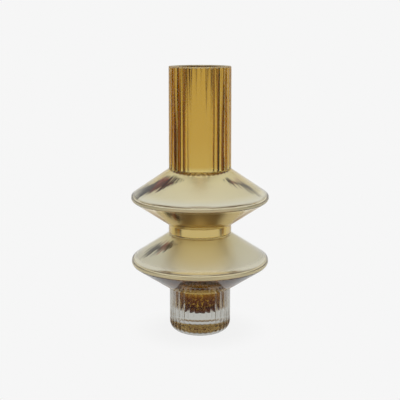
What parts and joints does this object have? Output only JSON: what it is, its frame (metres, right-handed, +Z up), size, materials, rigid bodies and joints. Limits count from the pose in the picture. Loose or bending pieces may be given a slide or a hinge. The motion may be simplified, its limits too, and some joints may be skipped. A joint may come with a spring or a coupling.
{
  "type": "glass vase",
  "caption": "Tall clear glass vase with a gold mirror lining: fluted neck, wide flared discs with a collar between, and a solid fluted foot.",
  "frame": {"origin": "centre of the foot's flat underside, on the vase's axis", "axes": "+Z up along the vase's axis, +X to the right and -Y towards the viewer of the picture"},
  "size_m": [0.1804, 0.1804, 0.35],
  "materials": {
    "clear_glass": "clear, fire polished, smooth on the discs and collar, fluted on the neck and foot",
    "champagne_lustre": "pale champagne metallic lustre behind the glass, soft mirror",
    "gold_lustre": "gold metallic lustre behind the glass, bright mirror",
    "amber_lustre": "deep amber metallic lustre behind the glass"
  },
  "bodies": {
    "root": {"foot": "clear_glass", "lower_disc": "clear_glass", "collar": "clear_glass", "upper_disc": "clear_glass", "neck": "clear_glass", "foot_lining": "amber_lustre", "lower_disc_lining": "champagne_lustre", "collar_lining": "gold_lustre", "upper_disc_lining": "champagne_lustre", "neck_lining": "gold_lustre"}
  },
  "joints": []
}
